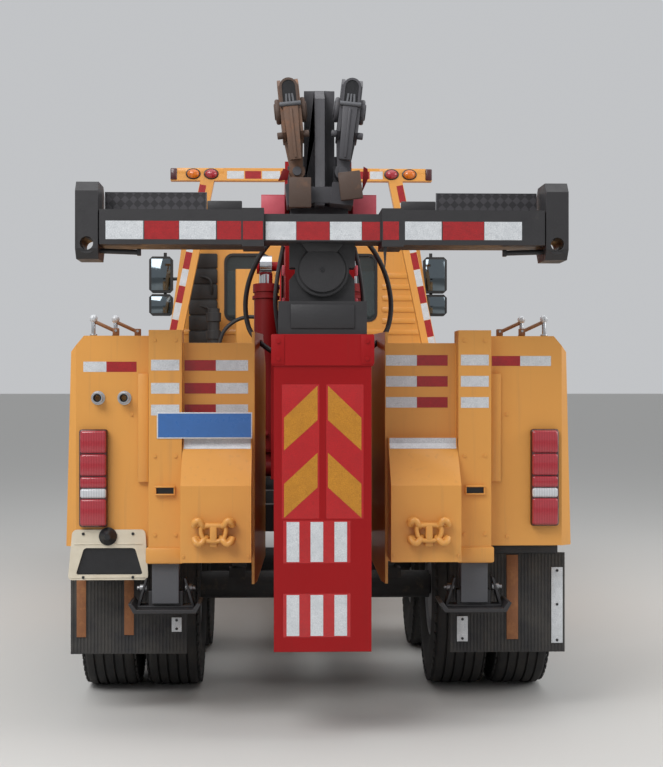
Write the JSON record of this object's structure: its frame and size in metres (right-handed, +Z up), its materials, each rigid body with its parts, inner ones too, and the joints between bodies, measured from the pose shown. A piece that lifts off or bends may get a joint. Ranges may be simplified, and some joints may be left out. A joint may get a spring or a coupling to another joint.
{
  "type": "heavy tow truck",
  "caption": "Heavy tow truck with a cab over the engine, side lockers, a telescopic recovery boom and a folding underlift with a sliding crossbar.",
  "frame": {"origin": "on the ground, at the middle of the box that holds the parked truck", "axes": "+Y towards the front of the cab, +X to the truck's right, +Z up"},
  "size_m": [2.93, 9.2, 3.5198],
  "materials": {
    "body_paint": "gloss",
    "boom_paint": "gloss",
    "chassis_paint": "satin",
    "underlift_paint": "satin",
    "axle_casting": "matt",
    "sheave_steel": "worn",
    "drum_steel": "worn",
    "rod_chrome": "polished",
    "leg_steel": "satin",
    "tank_metal": "satin",
    "fender_plastic": "matt",
    "lamp_lens": "gloss",
    "fitting_metal": "satin",
    "trim_plastic": "matt",
    "cab_plastic": "matt",
    "window_glass": "clear",
    "tyre": "matt",
    "wheel_paint": "satin"
  },
  "bodies": {
    "chassis": {"frame_rails": "chassis_paint", "subframe": "chassis_paint", "front_axle": "axle_casting", "rear_axles": "axle_casting", "engine": "axle_casting", "tank_and_battery": "tank_metal", "bumper": "chassis_paint", "splash_guards": "fender_plastic", "lamps": "lamp_lens", "side_boxes": "body_paint", "tail_frame": "body_paint", "tail_claws": "body_paint", "rear_fittings": "fitting_metal", "gantry": "body_paint", "snorkel": "trim_plastic"},
    "cab": {"cab_shell": "body_paint", "cab_glass": "window_glass", "grille": "trim_plastic", "cab_interior": "cab_plastic"},
    "boom": {"boom_outer": "boom_paint", "mast": "boom_paint"},
    "boom_slide": {"boom_inner": "sheave_steel"},
    "lift_barrels": {"lift_barrels": "boom_paint"},
    "lift_rods": {"lift_rods": "rod_chrome"},
    "stinger": {"stinger_outer": "boom_paint"},
    "stinger_slide": {"stinger_inner": "underlift_paint"},
    "crossbar": {"crossbar": "underlift_paint"},
    "winch_rear": {"winch_drum_rear": "drum_steel"},
    "winch_front": {"winch_drum_front": "drum_steel"},
    "knuckle_right": {"knuckle_right": "axle_casting"},
    "wheel_front_right": {"tyre_front_right": "tyre", "rim_front_right": "wheel_paint"},
    "wheel_mid_right": {"tyre_mid_right": "tyre", "rim_mid_right": "wheel_paint"},
    "wheel_rear_right": {"tyre_rear_right": "tyre", "rim_rear_right": "wheel_paint"},
    "door_right": {"door_right": "body_paint", "door_glass_right": "window_glass", "mirror_right": "trim_plastic"},
    "locker_rear_right": {"locker_door_rear_right": "body_paint"},
    "locker_front_right": {"locker_door_front_right": "body_paint"},
    "leg_right": {"leg_right": "leg_steel"},
    "arm_right": {"arm_right": "underlift_paint"},
    "sheave_right": {"sheave_head_right": "sheave_steel"},
    "knuckle_left": {"knuckle_left": "axle_casting"},
    "wheel_front_left": {"tyre_front_left": "tyre", "rim_front_left": "wheel_paint"},
    "wheel_mid_left": {"tyre_mid_left": "tyre", "rim_mid_left": "wheel_paint"},
    "wheel_rear_left": {"tyre_rear_left": "tyre", "rim_rear_left": "wheel_paint"},
    "door_left": {"door_left": "body_paint", "door_glass_left": "window_glass", "mirror_left": "trim_plastic"},
    "locker_rear_left": {"locker_door_rear_left": "body_paint"},
    "locker_front_left": {"locker_door_front_left": "body_paint"},
    "leg_left": {"leg_left": "leg_steel"},
    "arm_left": {"arm_left": "underlift_paint"},
    "sheave_left": {"sheave_head_left": "sheave_steel"}
  },
  "joints": [
    {"name": "steer_right", "type": "hinge", "parent": "chassis", "child": "knuckle_right", "pos_m": [0.85, 3.2, 0.54], "axis": [0, 0, 1], "range_deg": [-35, 35]},
    {"name": "roll_front_right", "type": "hinge", "parent": "knuckle_right", "child": "wheel_front_right", "pos_m": [1.02, 3.2, 0.54], "axis": [1, 0, 0], "continuous": true},
    {"name": "roll_mid_right", "type": "hinge", "parent": "chassis", "child": "wheel_mid_right", "pos_m": [0.93, -1.6, 0.54], "axis": [1, 0, 0], "continuous": true},
    {"name": "roll_rear_right", "type": "hinge", "parent": "chassis", "child": "wheel_rear_right", "pos_m": [0.93, -2.95, 0.54], "axis": [1, 0, 0], "continuous": true},
    {"name": "door_hinge_right", "type": "hinge", "parent": "cab", "child": "door_right", "pos_m": [1.192, 4.322, 2], "axis": [0, 0, 1], "range_deg": [0, 70]},
    {"name": "locker_hinge_rear_right", "type": "hinge", "parent": "chassis", "child": "locker_rear_right", "pos_m": [1.259, -0.897, 0.6], "axis": [0.0272, 0, -0.9996], "range_deg": [0, 100]},
    {"name": "locker_hinge_front_right", "type": "hinge", "parent": "chassis", "child": "locker_front_right", "pos_m": [1.259, 1.597, 0.6], "axis": [-0.0272, 0, 0.9996], "range_deg": [0, 100]},
    {"name": "leg_slide_right", "type": "slide", "parent": "chassis", "child": "leg_right", "axis": [0, 0, -1], "range_m": [0, 0.5]},
    {"name": "arm_slide_right", "type": "slide", "parent": "crossbar", "child": "arm_right", "axis": [1, 0, 0], "range_m": [0, 0.25]},
    {"name": "sheave_swing_right", "type": "hinge", "parent": "boom_slide", "child": "sheave_right", "pos_m": [0.113, -4.01, 2.69], "axis": [0, 1, 0], "range_deg": [-6, 25]},
    {"name": "steer_left", "type": "hinge", "parent": "chassis", "child": "knuckle_left", "pos_m": [-0.85, 3.2, 0.54], "axis": [0, 0, 1], "range_deg": [-35, 35]},
    {"name": "roll_front_left", "type": "hinge", "parent": "knuckle_left", "child": "wheel_front_left", "pos_m": [-1.02, 3.2, 0.54], "axis": [1, 0, 0], "continuous": true},
    {"name": "roll_mid_left", "type": "hinge", "parent": "chassis", "child": "wheel_mid_left", "pos_m": [-0.93, -1.6, 0.54], "axis": [1, 0, 0], "continuous": true},
    {"name": "roll_rear_left", "type": "hinge", "parent": "chassis", "child": "wheel_rear_left", "pos_m": [-0.93, -2.95, 0.54], "axis": [1, 0, 0], "continuous": true},
    {"name": "door_hinge_left", "type": "hinge", "parent": "cab", "child": "door_left", "pos_m": [-1.192, 4.322, 2], "axis": [0, 0, -1], "range_deg": [0, 70]},
    {"name": "locker_hinge_rear_left", "type": "hinge", "parent": "chassis", "child": "locker_rear_left", "pos_m": [-1.259, -0.897, 0.6], "axis": [0.0272, 0, 0.9996], "range_deg": [0, 100]},
    {"name": "locker_hinge_front_left", "type": "hinge", "parent": "chassis", "child": "locker_front_left", "pos_m": [-1.259, 1.597, 0.6], "axis": [-0.0272, 0, -0.9996], "range_deg": [0, 100]},
    {"name": "leg_slide_left", "type": "slide", "parent": "chassis", "child": "leg_left", "axis": [0, 0, -1], "range_m": [0, 0.5]},
    {"name": "arm_slide_left", "type": "slide", "parent": "crossbar", "child": "arm_left", "axis": [-1, 0, 0], "range_m": [0, 0.25]},
    {"name": "sheave_swing_left", "type": "hinge", "parent": "boom_slide", "child": "sheave_left", "pos_m": [-0.113, -4.01, 2.69], "axis": [0, -1, 0], "range_deg": [-6, 25]},
    {"name": "cab_tilt", "type": "hinge", "parent": "chassis", "child": "cab", "pos_m": [0, 4.43, 1], "axis": [-1, 0, 0], "range_deg": [0, 50]},
    {"name": "boom_lift", "type": "hinge", "parent": "chassis", "child": "boom", "pos_m": [0, 1.15, 1.6], "axis": [-1, 0, 0], "range_deg": [0, 28]},
    {"name": "boom_extend", "type": "slide", "parent": "boom", "child": "boom_slide", "axis": [0, -0.981, 0.1942], "range_m": [0, 1.6]},
    {"name": "lift_barrel_turn", "type": "hinge", "parent": "chassis", "child": "lift_barrels", "pos_m": [0, -1.05, 1.1], "axis": [-1, 0, 0], "range_deg": [0, 14.4]},
    {"name": "lift_rod_slide", "type": "slide", "parent": "lift_barrels", "child": "lift_rods", "axis": [0, 0.0739, 0.9973], "range_m": [0, 1.01]},
    {"name": "stinger_fold", "type": "hinge", "parent": "boom", "child": "stinger", "pos_m": [0, -4.15, 0.55], "axis": [1, 0, 0], "range_deg": [0, 90]},
    {"name": "stinger_extend", "type": "slide", "parent": "stinger", "child": "stinger_slide", "axis": [0, 0, 1], "range_m": [0, 1]},
    {"name": "crossbar_swivel", "type": "hinge", "parent": "stinger_slide", "child": "crossbar", "pos_m": [0, -4.39, 2.18], "axis": [0, 1, 0], "range_deg": [-12, 12]},
    {"name": "winch_turn_rear", "type": "hinge", "parent": "boom", "child": "winch_rear", "pos_m": [0, 0.0692, 2.21667], "axis": [1, 0, 0], "continuous": true},
    {"name": "winch_turn_front", "type": "hinge", "parent": "boom", "child": "winch_front", "pos_m": [0, 0.61853, 2.1079], "axis": [1, 0, 0], "continuous": true}
  ],
  "couplings": [
    {"joint": "steer_left", "follows": "steer_right", "ratio": 1},
    {"joint": "lift_barrel_turn", "follows": "boom_lift", "ratio": 0.50659},
    {"joint": "lift_rod_slide", "follows": "boom_lift", "m_per_rad": 2.0534}
  ]
}
